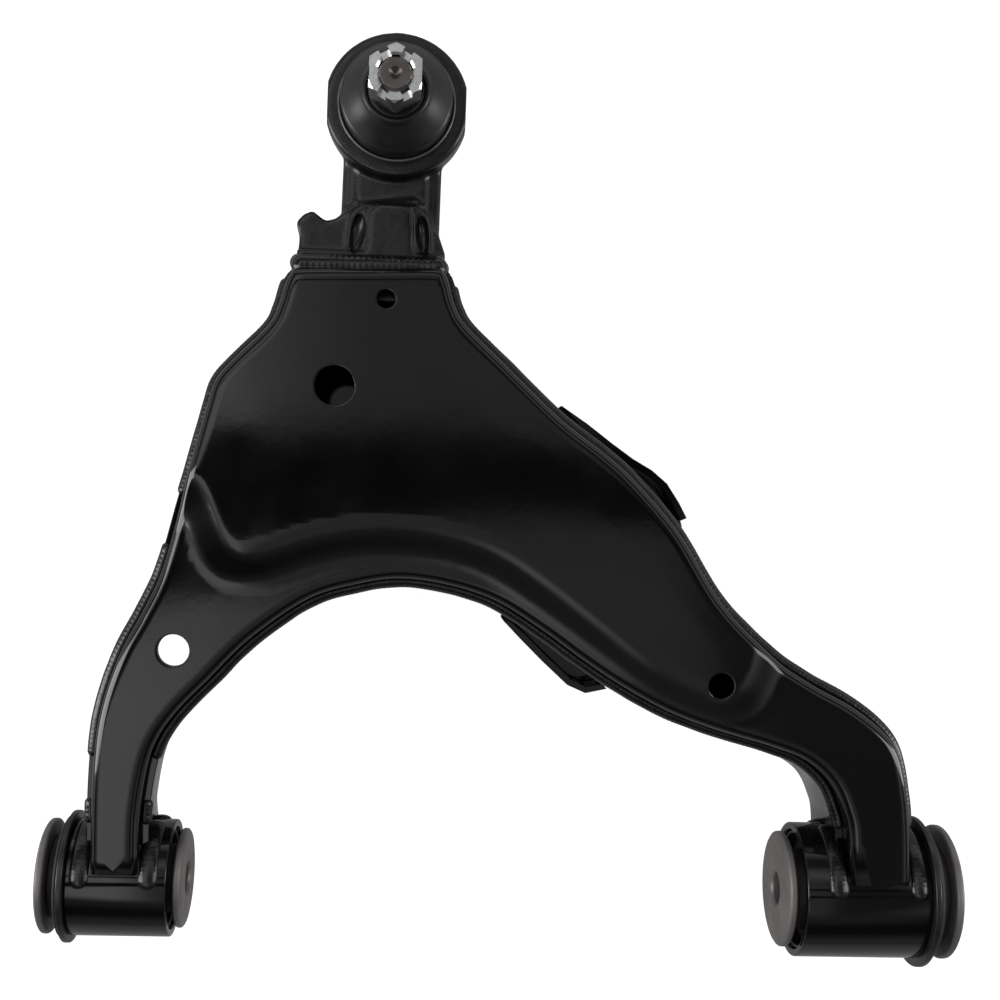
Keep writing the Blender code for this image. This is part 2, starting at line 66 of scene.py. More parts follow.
ALONG_PIVOT = Matrix(((0, 0, 1, 0), (1, 0, 0, 0), (0, 1, 0, 0), (0, 0, 0, 1)))

# The two pressings
SHEET = 3.2
SHOULDER = 4.5
UPPER_RIM_Z = 4.0
LOWER_RIM_Z = 20.0
LOWER_BEND_Z = 2.0
LOWER_FLOOR_Z = -28.0
FLOOR_BEND = 5.0
RIM_OFFSET = 3.5
LEG_TOP = (30.0, 33.5)
PLATEAU_TOP = 38.0
LEG_END_Y = {"small": 8.5, "large": 11.0}
TUBE_GAP = 0.3
CUT_REACH = 60.0

# Fineness of the meshes
OUTLINE_STEP = 2.6
PLATEAU_STEP = 6.0
GRID_STEP = 3.0
EDGE_ROWS = (2.2, 4.4)
HOLE_STEP = 1.6
EASE_STEPS = 4
FINE_ROUND = 96

ARM_OUTLINE = (
    (-193.5, -14), (-171, -14), (-172, 18), (-172, 38), (-169, 61), (-164, 75), (-155, 88),
    (-141.5, 102.5), (-122.5, 122.5), (-96, 142), (-73, 150), (-51.5, 153.5), (-28, 151), (-5, 144),
    (18, 130.5), (37, 117.5), (57, 105), (80.5, 93), (105, 84.5), (131, 77.5), (149, 71), (162, 60),
    (169, 46), (172, 31), (173, -14), (204, -14), (203.5, 11), (202, 41.5), (199, 62), (194.5, 76.5),
    (186, 87), (170.5, 98), (151, 108), (131.5, 120.5), (104.5, 146), (81.5, 180.5), (59, 205),
    (44, 217.5), (22.5, 233), (-5.5, 258.5), (-24, 275.5), (-30, 285), (-33.5, 296), (-36, 301),
    (-41, 302.5), (-72.5, 301), (-103.5, 299.5), (-108.5, 297.5), (-111, 292), (-113.5, 282.5),
    (-118.5, 272), (-135, 254.5), (-142, 245.5), (-145.5, 234), (-152, 207.5), (-157, 188), (-165.5, 154),
    (-174.5, 133), (-182.5, 117), (-189, 99), (-193, 81.5), (-194.5, 65), (-195, 43), (-194.5, 15),
)
PLATEAU = (
    (-168, 320), (-3, 330), (8, 276), (71, 228), (115, 174), (128, 133), (124.5, 110.5), (115.5, 98),
    (99, 97), (70.5, 109.5), (44.5, 127.5), (18.5, 146), (-7.5, 162), (-32.5, 169.5), (-62, 171.5),
    (-91, 166.5), (-119.5, 157), (-137.5, 160.5), (-150, 185.5), (-166, 218.5),
)
PLATEAU_SLOPE = 22.0
PLATEAU_ROLL = 60.0
ROLL_SHARE = 0.07
FACE_HOLES = (((-63, 286.5), 4.5), ((-86, 244.5), 9.5), ((104.5, 107), 6.2), ((-158.5, 116), 7.7))
PAD_CENTRE = (-158.5, 116)
PAD_BASE = (-162.0, 113.5)
PAD_BASE_R = 17.4
PAD_TOP_R = 12.5
PAD_HOLE_R = 7.7
FLARES = (((138, 72), 16.0, 5.0), ((86, 85), 13.0, 3.0), ((-170, 45), 22.0, -4.5))

BUSHES = {
    "small": {
        "side": -1, "tube_r": 28.3, "tube_a": (-29.0, 18.8), "flange_r": 31.8, "flange_a": (19.1, 22.0),
        "outer_r": 27.7, "outer_a": (29.3, 33.7), "inner_r": 24.0, "inner_a": (-35.5, -31.4), "neck_r": 16.2,
    },
    "large": {
        "side": 1, "tube_r": 33.1, "tube_a": (-35.5, 26.5), "flange_r": 37.4, "flange_a": (26.8, 29.8),
        "outer_r": 33.2, "outer_a": (38.9, 43.4), "inner_r": 28.5, "inner_a": (-43.4, -39.0), "neck_r": 19.0,
    },
}


# Materials


def add_node(tree, kind, **values):
    node = tree.nodes.new(kind)
    for key, value in values.items():
        if hasattr(node, key):
            setattr(node, key, value)
        else:
            node.inputs[key.replace("_", " ")].default_value = value
    return node


def noise(tree, scale, detail=3.0):
    """Noise over the object's own coordinates, in cycles per metre."""
    place = add_node(tree, "ShaderNodeTexCoord").outputs["Object"]
    node = add_node(tree, "ShaderNodeTexNoise", Scale=scale, Detail=detail)
    tree.links.new(place, node.inputs["Vector"])
    return node.outputs["Fac"]


def cells(tree, scale):
    """Small cells over the object's own coordinates, in cells per metre."""
    place = add_node(tree, "ShaderNodeTexCoord").outputs["Object"]
    node = add_node(tree, "ShaderNodeTexVoronoi", Scale=scale)
    tree.links.new(place, node.inputs["Vector"])
    return node


def remap(tree, value, low, high, out_low, out_high):
    """Carries the value from one range to the other along a smooth step."""
    node = add_node(tree, "ShaderNodeMapRange")
    node.interpolation_type = "SMOOTHSTEP"
    for name, number in zip(("From Min", "From Max", "To Min", "To Max"), (low, high, out_low, out_high)):
        node.inputs[name].default_value = number
    tree.links.new(value, node.inputs["Value"])
    return node.outputs["Result"]


def mixed(tree, factor, first, second):
    """A colour between first, which is a colour or a socket, and second."""
    node = add_node(tree, "ShaderNodeMix", data_type="RGBA")
    if isinstance(first, tuple):
        node.inputs[6].default_value = (*first, 1.0)
    else:
        tree.links.new(first, node.inputs[6])
    node.inputs[7].default_value = (*second, 1.0)
    tree.links.new(factor, node.inputs[0])
    return node.outputs[2]


SPECK_EDGE = (0.03, 0.06)


def surface(name, colours, roughness, metallic=0.0, patch=30.0, bumps=(), specks=None):
    """A Principled material: two colours and two roughnesses in soft patches, with bumps and dust specks.

    bumps holds (cycles per metre, height in mm). specks is (cells per metre, share, colour).
    """
    made = bpy.data.materials.new(name)
    made.use_nodes = True
    tree = made.node_tree
    shader = tree.nodes["Principled BSDF"]
    shader.inputs["Metallic"].default_value = metallic
    base = mixed(tree, remap(tree, noise(tree, patch), 0.35, 0.65, 0, 1), *colours)
    rough = remap(tree, noise(tree, patch * 1.7, 6.0), 0.3, 0.7, *roughness)
    if specks:
        scale, share, colour = specks
        dots = cells(tree, scale)
        near = remap(tree, dots.outputs["Distance"], *SPECK_EDGE, 1, 0)
        chosen = remap(tree, dots.outputs["Color"], share, share + 0.01, 1, 0)
        both = add_node(tree, "ShaderNodeMath", operation="MULTIPLY")
        tree.links.new(near, both.inputs[0])
        tree.links.new(chosen, both.inputs[1])
        base = mixed(tree, both.outputs[0], base, colour)
    tree.links.new(base, shader.inputs["Base Color"])
    tree.links.new(rough, shader.inputs["Roughness"])
    normal = None
    for scale, height in bumps:
        bump = add_node(tree, "ShaderNodeBump", Strength=1.0, Distance=height * MM)
        tree.links.new(noise(tree, scale, 4.0), bump.inputs["Height"])
        if normal:
            tree.links.new(normal, bump.inputs["Normal"])
        normal = bump.outputs["Normal"]
    if normal:
        tree.links.new(normal, shader.inputs["Normal"])
    return made


BLACK = (0.003, 0.003, 0.0033)
DUST = (0.12, 0.12, 0.12)
PAINT = surface(
    "gloss_black_paint", (BLACK, (0.0036, 0.0036, 0.004)), (0.06, 0.1), patch=22,
    bumps=((260, 0.006), (45, 0.03)), specks=(95, 0.035, DUST),
)
WELD_PAINT = surface(
    "painted_weld", (BLACK, (0.008, 0.008, 0.008)), (0.14, 0.3), patch=160,
    bumps=((420, 0.12), (1400, 0.03)),
)
CAST_PAINT = surface(
    "painted_forging", (BLACK, (0.007, 0.007, 0.0075)), (0.2, 0.34), patch=60,
    bumps=((900, 0.05), (240, 0.09)), specks=(110, 0.03, DUST),
)
SATIN_PAINT = surface(
    "satin_black_paint", ((0.008, 0.008, 0.008), (0.014, 0.0135, 0.0135)), (0.28, 0.42), patch=70,
    bumps=((600, 0.03),),
)
BUSH_RUBBER = surface(
    "bush_rubber", ((0.018, 0.018, 0.018), (0.032, 0.031, 0.03)), (0.5, 0.68), patch=90,
    bumps=((1500, 0.03), (200, 0.06)),
)
BOOT_RUBBER = surface(
    "boot_rubber", ((0.007, 0.007, 0.0072), (0.011, 0.011, 0.011)), (0.3, 0.4), patch=60,
    bumps=((1100, 0.012),), specks=(140, 0.04, (0.06, 0.06, 0.06)),
)
PLATE_STEEL = surface(
    "grey_brown_plate", ((0.17, 0.158, 0.155), (0.21, 0.196, 0.192)), (0.42, 0.55), 0.5, patch=55,
    bumps=((1600, 0.015), (300, 0.03)),
)
STUD_STEEL = surface(
    "turned_stud", ((0.11, 0.1, 0.095), (0.16, 0.148, 0.14)), (0.3, 0.42), 0.8, patch=120,
    bumps=((1800, 0.01),),
)
SPRING_STEEL = surface(
    "dark_spring_steel", ((0.12, 0.12, 0.12), (0.18, 0.18, 0.18)), (0.32, 0.45), 0.8, patch=90,
    bumps=((900, 0.02),),
)
ZINC = surface(
    "bright_zinc", ((0.82, 0.83, 0.84), (0.92, 0.93, 0.94)), (0.1, 0.2), 1.0, patch=140,
    bumps=((700, 0.02),),
)
ACETAL = surface(
    "white_acetal", ((0.72, 0.7, 0.64), (0.8, 0.78, 0.72)), (0.35, 0.45), patch=80, bumps=((900, 0.01),)
)


# Mesh tools


def shade(mesh, sharp):
    """Smooth shading, apart from edges of more than the sharp angle in degrees."""
    mesh.shade_smooth()
    mesh.set_sharp_from_angle(angle=math.radians(sharp))


def finished(name, bm, finish, body, stands_for=(), matrix=None, sharp=32):
    """Makes the object from a bmesh in millimetres. With a body it rides on it, or else it is a helper."""
    bmesh.ops.remove_doubles(bm, verts=bm.verts, dist=1e-5)
    bmesh.ops.recalc_face_normals(bm, faces=bm.faces)
    bmesh.ops.transform(bm, matrix=Matrix.Scale(MM, 4), verts=bm.verts)
    if matrix:
        bmesh.ops.transform(bm, matrix=matrix, verts=bm.verts)
    mesh = bpy.data.meshes.new(name)
    bm.to_mesh(mesh)
    bm.free()
    shade(mesh, sharp)
    obj = bpy.data.objects.new(name, mesh)
    bpy.context.scene.collection.objects.link(obj)
    if finish:
        mesh.materials.append(finish)
    if body:
        settle(obj, body, stands_for)
    return obj


def settle(obj, body, stands_for=()):
    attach(obj, body)
    if stands_for:
        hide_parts(*stands_for)


def ease_edges(obj, width, segments, angle):
    """Bevels the edges that are sharper than the angle, by a width in millimetres."""
    edges = obj.modifiers.new("edges", "BEVEL")
    edges.width = width * MM
    edges.segments = segments
    edges.limit_method = "ANGLE"
    edges.angle_limit = math.radians(angle)


def place(x=0.0, y=0.0, z=0.0):
    return Matrix.Translation(Vector((x, y, z)) * MM)


def rounded(profile, radius):
    """The closed profile with each corner off the axis eased by a short curve of about that radius."""
    eased = []
    for i, point in enumerate(profile):
        here = Vector(point)
        before, after = Vector(profile[i - 1]), Vector(profile[(i + 1) % len(profile)])
        if here.y < 1e-6 or min((before - here).length, (after - here).length) < 0.02:
            eased.append(tuple(here))
            continue
        start = here + (before - here).normalized() * min(radius, (before - here).length * 0.45)
        end = here + (after - here).normalized() * min(radius, (after - here).length * 0.45)
        for j in range(EASE_STEPS + 1):
            t = j / EASE_STEPS
            eased.append(tuple(start * (1 - t) ** 2 + here * 2 * t * (1 - t) + end * t**2))
    return eased


def circle(centre, radius, count):
    angles = [math.tau * i / count for i in range(count)]
    return [(centre[0] + radius * math.cos(a), centre[1] + radius * math.sin(a)) for a in angles]


def bridge(bm, rows):
    """Faces between each closed row of vertices and the next."""
    for low, high in zip(rows, rows[1:]):
        for i in range(len(low)):
            bm.faces.new((low[i - 1], low[i], high[i], high[i - 1]))


def turned(name, profile, finish, body, stands_for=(), matrix=None, rounds=FINE_ROUND, sharp=50):
    """Spins a closed outline of (height, radius) points about Z."""
    bm = bmesh.new()
    rings = []
    for height, radius in profile:
        if radius < 1e-6:
            rings.append([bm.verts.new((0, 0, height))] * rounds)
        else:
            rings.append([bm.verts.new((x, y, height)) for x, y in circle((0, 0), radius, rounds)])
    for low, high in zip(rings, rings[1:] + rings[:1]):
        for i in range(rounds):
            corners = []
            for vert in (low[i - 1], low[i], high[i], high[i - 1]):
                if vert not in corners:
                    corners.append(vert)
            if len(corners) > 2:
                bm.faces.new(corners)
    return finished(name, bm, finish, body, stands_for, matrix, sharp)


def prism(name, outline, low, high, finish, body, slot=None, stands_for=(), matrix=None):
    """An outline in X and Y, raised from the low to the high Z."""
    bm = bmesh.new()
    face = bm.faces.new([bm.verts.new((x, y, low)) for x, y in outline])
    top = bmesh.ops.extrude_face_region(bm, geom=[face])
    moved = [item for item in top["geom"] if isinstance(item, bmesh.types.BMVert)]
    bmesh.ops.translate(bm, vec=(0, 0, high - low), verts=moved)
    return finished(name, bm, finish, body, stands_for, matrix)


def box(low, high):
    """The corners of a box as an outline for prism, and its two heights."""
    return ((low[0], low[1]), (high[0], low[1]), (high[0], high[1]), (low[0], high[1])), low[2], high[2]


def apply_modifiers(obj):
    """Replaces the object's mesh by what its modifiers make of it."""
    graph = bpy.context.evaluated_depsgraph_get()
    mesh = bpy.data.meshes.new_from_object(obj.evaluated_get(graph))
    obj.modifiers.clear()
    obj.data = mesh


def combine(obj, others, operation):
    """Cuts the helpers out of the object, joins them to it or keeps what they share, then removes them."""
    for other in others:
        modifier = obj.modifiers.new(other.name, "BOOLEAN")
        modifier.operation = operation
        modifier.solver = "EXACT"
        modifier.object = other
    bpy.context.view_layer.update()
    apply_modifiers(obj)
    for other in others:
        bpy.data.objects.remove(other, do_unlink=True)


def smooth_loop(points, step):
    """A closed Catmull-Rom curve through the points, sampled about every step.

    Below Y = 0 the loop only has its own points, because the end cutters take that part away.
    """
    knots = [Vector(point) for point in points]
    loop = []
    for i, start in enumerate(knots):
        before, end, after = knots[i - 1], knots[(i + 1) % len(knots)], knots[(i + 2) % len(knots)]
        count = 1 if min(start.y, end.y) < 0 else max(1, round((end - start).length / step))
        for j in range(count):
            t = j / count
            bend = (end - before) * t
            bend += (2 * before - 5 * start + 4 * end - after) * t**2
            bend += (3 * start - before - 3 * end + after) * t**3
            loop.append(start + bend / 2)
    return loop


def offset_loop(loop, distance):
    """Moves each point of an anticlockwise loop outwards. The distance is a number or one for each point.

    Where the moved points would fold over, they are drawn together until they run the right way again.
    """
    moved = []
    for i, point in enumerate(loop):
        along = (loop[(i + 1) % len(loop)] - loop[i - 1]).normalized()
        reach = distance if isinstance(distance, (int, float)) else distance[i]
        moved.append(point + Vector((along.y, -along.x)) * reach)
    for _ in range(12):
        folded = [
            i for i in range(len(loop))
            if (moved[(i + 1) % len(loop)] - moved[i]).dot(loop[(i + 1) % len(loop)] - loop[i]) < 0.02
        ]
        for i in folded:
            for j in (i, (i + 1) % len(loop)):
                moved[j] = (moved[j - 1] + moved[j] + moved[(j + 1) % len(loop)]) / 3
    return moved


def smooth_step(values):
    values = np.clip(values, 0.0, 1.0)
    return values * values * (3 - 2 * values)


def edge_distances(points, polygon):
    """The distance from each point to the polygon's nearest edge, positive inside."""
    points = np.asarray(points, float)
    start = np.asarray(polygon, float)
    end = np.roll(start, -1, axis=0)
    nearest = np.full(len(points), np.inf)
    crossings = np.zeros(len(points), int)
    for a, b in zip(start, end):
        side = b - a
        along = np.clip(((points - a) @ side) / max(side @ side, 1e-12), 0, 1)
        nearest = np.minimum(nearest, np.linalg.norm(points - a - along[:, None] * side, axis=1))
        spans = (a[1] > points[:, 1]) != (b[1] > points[:, 1])
        if a[1] != b[1]:
            crossings += spans & (points[:, 0] < a[0] + side[0] * (points[:, 1] - a[1]) / side[1])
    return np.where(crossings % 2 == 1, nearest, -nearest)


def face_heights(points):
    """The upper face: two legs, and the raised middle that rolls down to them."""
    points = np.asarray(points, float)
    across = smooth_step((points[:, 0] + BUSH_X) / (2 * BUSH_X))
    leg = LEG_TOP[0] + (LEG_TOP[1] - LEG_TOP[0]) * across
    inward = edge_distances(points, [tuple(point) for point in smooth_loop(PLATEAU, PLATEAU_STEP)])
    near = smooth_step(inward / PLATEAU_SLOPE + 0.5)
    far = smooth_step((inward + 0.5 * PLATEAU_SLOPE) / PLATEAU_ROLL)
    return leg + (PLATEAU_TOP - leg) * ((1 - ROLL_SHARE) * near + ROLL_SHARE * far)


def floor_heights(points):
    return np.full(len(points), LOWER_FLOOR_Z)


def grid_inside(polygon, step, margin, holes):
    """Grid points that keep the margin to the polygon's edge and stay off the holes."""
    low, high = np.min(polygon, axis=0), np.max(polygon, axis=0)
    xs = np.arange(low[0] + 0.5 * step, high[0], step)
    ys = np.arange(low[1] + 0.5 * step, high[1], step)
    spots = np.array([(x, y) for x in xs for y in ys])
    keep = edge_distances(spots, polygon) > margin
    for centre, radius in holes:
        keep &= np.linalg.norm(spots - np.array(centre), axis=1) > radius + 0.45 * step
    return spots[keep]


def face_points(edge, holes):
    """Free points of a face: rows along its edge, then a grid, all clear of the holes."""
    edge_loop = [Vector(point) for point in edge]
    band = [tuple(point) for reach in EDGE_ROWS for point in offset_loop(edge_loop, -reach)]
    clear = edge_distances(band, edge) > 1.6
    for centre, radius in holes:
        clear &= np.linalg.norm(np.array(band) - np.array(centre), axis=1) > radius + 1.2
    points = [point for point, good in zip(band, clear) if good]
    return points + [tuple(point) for point in grid_inside(edge, GRID_STEP, EDGE_ROWS[-1] + 1.4, holes)]


def fill(name, edge, middle, rings):
    """Triangles between an edge, free points and hole rings, as indices into all of them in that order."""
    spots = edge + middle + [point for ring in rings for point in ring]
    borders, start = [], len(edge) + len(middle)
    for ring in rings:
        borders += [(start + i, start + (i + 1) % len(ring)) for i in range(len(ring))]
        start += len(ring)
    found, _, faces, sources, _, _ = delaunay_2d_cdt(
        [Vector(p) for p in spots], borders, [list(range(len(edge)))], 1, 1e-5
    )
    if len(found) != len(spots):
        raise ValueError(f"{name}: the outline crosses itself")
    return spots, [[sources[i][0] for i in corners] for corners in faces]


def tray(name, outer, inner, heights, thickness, holes):
    """One sheet bent into a tray, in millimetres, as a bmesh.

    outer and inner are rings of (offsets, heights) from the face's edge to the rim. Each hole is
    (centre, radius, chain, lean), where the chain of (radius, drop) runs through the sheet and its
    centre moves by the lean for each millimetre of drop.
    """
    loop = smooth_loop(ARM_OUTLINE, OUTLINE_STEP)
    bm = bmesh.new()
    skins = []
    for rings in (outer, inner):
        skins.append([
            [bm.verts.new((spot.x, spot.y, height)) for spot, height in zip(offset_loop(loop, offset), tall)]
            for offset, tall in rings
        ])
    bridge(bm, skins[0] + skins[1][::-1])
    edge = [(v.co.x, v.co.y) for v in skins[0][0]]
    middle = face_points(edge, [(centre, radius) for centre, radius, *_ in holes])
    rings = [
        circle(centre, radius, max(24, round(math.tau * radius / HOLE_STEP))) for centre, radius, *_ in holes
    ]
    spots, faces = fill(name, edge, middle, rings)
    owner, first = {}, len(edge) + len(middle)
    for number, ring in enumerate(rings):
        owner.update((first + i, number) for i in range(len(ring)))
        first += len(ring)
    tall = heights(np.array(spots))
    layers = []
    for skin, drop in ((skins[0], 0.0), (skins[1], thickness)):
        verts = list(skin[0])
        verts += [bm.verts.new((x, y, z - drop)) for (x, y), z in zip(spots[len(edge):], tall[len(edge):])]
        for corners in faces:
            owners = {owner.get(i, -1) for i in corners}
            if len(owners) > 1 or -1 in owners:
                bm.faces.new([verts[i] for i in corners])
        layers.append(verts)
    first = len(edge) + len(middle)
    for ((x0, y0), radius, chain, lean), ring in zip(holes, rings):
        ids = range(first, first + len(ring))
        chained = [[layers[0][i] for i in ids]]
        for wide, drop in chain:
            chained.append([
                bm.verts.new((
                    x0 + lean[0] * drop + (x - x0) * wide / radius,
                    y0 + lean[1] * drop + (y - y0) * wide / radius,
                    tall[i] - drop,
                ))
                for i, (x, y) in zip(ids, ring)
            ])
        chained.append([layers[1][i] for i in ids])
        bridge(bm, chained)
        first += len(ring)
    return bm


def flares(loop):
    """How far the lower pressing's wall leans out or in at its floor, for each point of the loop."""
    total = np.zeros(len(loop))
    spots = np.array([tuple(p) for p in loop])
    for centre, width, reach in FLARES:
        away = np.linalg.norm(spots - np.array(centre), axis=1) / width
        total += reach * np.exp(-away * away / 2)
    return total


def bend_rings(radius, top, steps=5):
    """Rings of (offset, height) round a bend of that radius, down from a face whose edge heights are top."""
    rings = []
    for i in range(steps + 1):
        angle = math.radians(90 * i / steps)
        rings.append((-radius + radius * math.sin(angle), top - radius * (1 - math.cos(angle))))
    return rings


def end_cutter(size):
    """The eye tube and everything beyond the leg's end, as one prism along the pivot axis."""
    bush = BUSHES[size]
    radius = bush["tube_r"] + TUBE_GAP
    end = LEG_END_Y[size]
    start = math.degrees(math.acos(end / radius))
    angles = [math.radians(start - 2 * start * i / 40) for i in range(41)]
    outline = [(end, CUT_REACH)] + [(radius * math.cos(a), radius * math.sin(a)) for a in angles]
    outline += [(end, -CUT_REACH), (-CUT_REACH, -CUT_REACH), (-CUT_REACH, CUT_REACH)]
    matrix = place(bush["side"] * BUSH_X) @ ALONG_PIVOT
    return prism(f"{size}_end_cutter", outline, -CUT_REACH, CUT_REACH, None, None, matrix=matrix)


def shank_cutter():
    return prism("shank_cutter", *box((-105.3, 286, -23.3), (-37.9, 312, 23.3)), None, None)


def pressing(name, bm):
    """A tray whose ends are cut to the eye tubes and to the forging's shank."""
    made = finished(f"{name}_pressing", bm, PAINT, None)
    combine(made, [end_cutter("small"), end_cutter("large"), shank_cutter()], "DIFFERENCE")
    settle(made, "arm", [f"{name}_shell"])


def upper_pressing():
    loop = smooth_loop(ARM_OUTLINE, OUTLINE_STEP)
    top = face_heights(offset_loop(loop, -SHOULDER))
    rim = np.full(len(loop), UPPER_RIM_Z)
    outer = bend_rings(SHOULDER, top) + [(0.0, rim)]
    inner = [
        (-SHOULDER, top - SHEET), (-SHEET - 0.4, top - SHEET - 0.4), (-SHEET, top - SHOULDER), (-SHEET, rim),
    ]
    holes = []
    for centre, radius in FACE_HOLES:
        chain = ((radius + 0.5, 0.0), (radius + 0.15, 0.15), (radius, 0.5), (radius, SHEET - 0.4))
        holes.append((centre, radius + 0.9, chain, (0, 0)))
    pressing("upper", tray("upper", outer, inner, face_heights, SHEET, holes))


def pad_chain(reach):
    """The hollow pad that rises by reach from the floor to the upper sheet: inside, hole, then outside."""
    return (
        (PAD_BASE_R + 0.2, 0.0), (PAD_BASE_R - 0.9, -0.2), (PAD_BASE_R - 2.0, -1.2),
        (PAD_HOLE_R + 1.1, reach + SHEET + 0.8), (PAD_HOLE_R + 0.8, reach + SHEET),
        (PAD_HOLE_R + 0.3, reach + SHEET), (PAD_HOLE_R, reach + SHEET - 0.5),
        (PAD_HOLE_R, reach + 0.5), (PAD_HOLE_R + 0.5, reach),
        (PAD_TOP_R - 1.0, reach), (PAD_TOP_R, reach + 1.0),
        (PAD_BASE_R, -SHEET - 1.6), (PAD_BASE_R + 0.6, -SHEET - 0.3),
    )


def lower_pressing():
    loop = smooth_loop(ARM_OUTLINE, OUTLINE_STEP)
    lean = flares(loop)
    level = np.full(len(loop), 1.0)
    outside, inside = RIM_OFFSET + 0 * lean, RIM_OFFSET - SHEET + 0 * lean
    outer = [
        (RIM_OFFSET + lean + offset, 2 * LOWER_FLOOR_Z - tall)
        for offset, tall in bend_rings(FLOOR_BEND, LOWER_FLOOR_Z * level)
    ]
    outer += [(outside, LOWER_BEND_Z * level), (outside, (LOWER_RIM_Z - 0.5) * level)]
    outer += [(outside - 0.5, LOWER_RIM_Z * level)]
    inner = [
        (RIM_OFFSET - FLOOR_BEND + lean, (LOWER_FLOOR_Z + SHEET) * level),
        (inside - 0.5 + lean, (LOWER_FLOOR_Z + SHEET + 0.6) * level),
        (inside + lean, (LOWER_FLOOR_Z + FLOOR_BEND) * level),
        (inside, LOWER_BEND_Z * level), (inside, LOWER_RIM_Z * level),
    ]
    inside_top = float(face_heights([PAD_CENTRE])[0]) - SHEET - 0.6
    reach = LOWER_FLOOR_Z - inside_top
    shift = [(PAD_CENTRE[i] - PAD_BASE[i]) / reach for i in (0, 1)]
    holes = [(PAD_BASE, PAD_BASE_R + 0.9, pad_chain(reach), shift)]
    pressing("lower", tray("lower", outer, inner, floor_heights, -SHEET, holes))


# Welds


BEAD_STEP = 0.55
BEAD_SIDES = 14
SEAM_GAPS = ((44, 62), (168, 190))
SEAM_START_Y = {"small": 29.5, "large": 34.5}
SEAM_END_Y = 297
LEG_WELD_X = {"small": (-199.5, -167.2), "large": (167.8, 208.2)}
LEG_WELD_RISE = 22
FORGING_WELD_Y = 303.5
FORGING_WELD_Z = 25.0


def bead(name, path, half_width, height, pitch=2.3, seed=1, ripple=0.10):
    """A rippled weld bead along a path of (point, outward direction)."""
    draw = random.Random(seed)
    points = [Vector(p) for p, _ in path]
    outs = [Vector(o).normalized() for _, o in path]
    length = [0.0]
    for a, b in zip(points, points[1:]):
        length.append(length[-1] + (b - a).length)
    total = length[-1]
    count = max(6, round(total / BEAD_STEP))
    waves = [
        (draw.uniform(0.02, 0.09), draw.uniform(0, math.tau), draw.uniform(0.008, 0.022)) for _ in range(4)
    ]
    bm = bmesh.new()
    sections, segment = [], 0
    for i in range(count + 1):
        s = total * i / count
        while segment < len(points) - 2 and length[segment + 1] < s:
            segment += 1
        t = (s - length[segment]) / max(length[segment + 1] - length[segment], 1e-9)
        centre = points[segment].lerp(points[segment + 1], t)
        out = outs[segment].lerp(outs[segment + 1], t).normalized()
        along = (points[segment + 1] - points[segment]).normalized()
        side = along.cross(out).normalized()
        ease = min(s, total - s) / half_width
        taper = math.sqrt(max(0.0, 1 - max(0.0, 1 - ease) ** 2)) if ease < 1 else 1.0
        wander = sum(size * math.sin(s * rate * math.tau + phase) for rate, phase, size in waves)
        ring = []
        for j in range(BEAD_SIDES):
            angle = math.tau * j / BEAD_SIDES
            crest = math.cos(angle)
            wave = 0.5 * math.cos(math.tau * (s + 0.9 * crest) / pitch)
            up = height * taper * (1 + wander + ripple * wave) * crest
            wide = half_width * max(taper, 0.02) * (1 + 0.5 * wander) * math.sin(angle)
            ring.append(bm.verts.new(centre + out * up + side * wide))
        sections.append(ring)
    bridge(bm, sections)
    bm.faces.new(sections[0])
    bm.faces.new(sections[-1][::-1])
    return finished(name, bm, WELD_PAINT, "arm", sharp=80)


def seam_beads():
    """Fillets along the lower pressing's rim, with two short stretches near the small bush left open."""
    loop = smooth_loop(ARM_OUTLINE, OUTLINE_STEP / 2)
    rim = offset_loop(loop, RIM_OFFSET - 1.1)
    far = offset_loop(loop, RIM_OFFSET + 10)
    runs = [[]]
    for near, away in zip(rim, far):
        start = SEAM_START_Y["small" if near.x < 0 else "large"]
        gap = near.x < -150 and any(low < near.y < high for low, high in SEAM_GAPS)
        if near.y < start or near.y > SEAM_END_Y or gap:
            runs.append([])
            continue
        out = Vector((away.x - near.x, away.y - near.y, 0)).normalized() * 0.72 + Vector((0, 0, 0.7))
        runs[-1].append(((near.x, near.y, LOWER_RIM_Z - 0.4), out))
    for i, run in enumerate(run for run in runs if len(run) > 6):
        bead(f"seam_weld_{i}", run, 2.9, 1.9, seed=10 + i, ripple=0.05)


def leg_weld_path(size, wall, face):
    """Down one side of a leg and over its eye tube. The path above runs 9.5 mm further than the one below."""
    radius = BUSHES[size]["tube_r"]
    first = LEG_END_Y[size] + LEG_WELD_RISE
    last = LEG_END_Y[size] + (-7.5 if face > 0 else 2)
    path = []
    for i in range(30):
        y = min(first + (last - first) * i / 29, radius - 0.2)
        z = math.sqrt(radius * radius - y * y)
        path.append((Vector((wall, y, face * (z - 0.4))), Vector((0, y, face * z))))
    return path


def tube_beads():
    """The welds that run down each side of the legs on to the eye tubes, above and below."""
    for size, walls in LEG_WELD_X.items():
        for number, wall in enumerate(walls):
            for face, end in ((1, "top"), (-1, "low")):
                path = leg_weld_path(size, wall, face)
                bead(f"{size}_leg_weld_{number}_{end}", path, 4.6, 2.2, seed=30 + number, ripple=0.03)


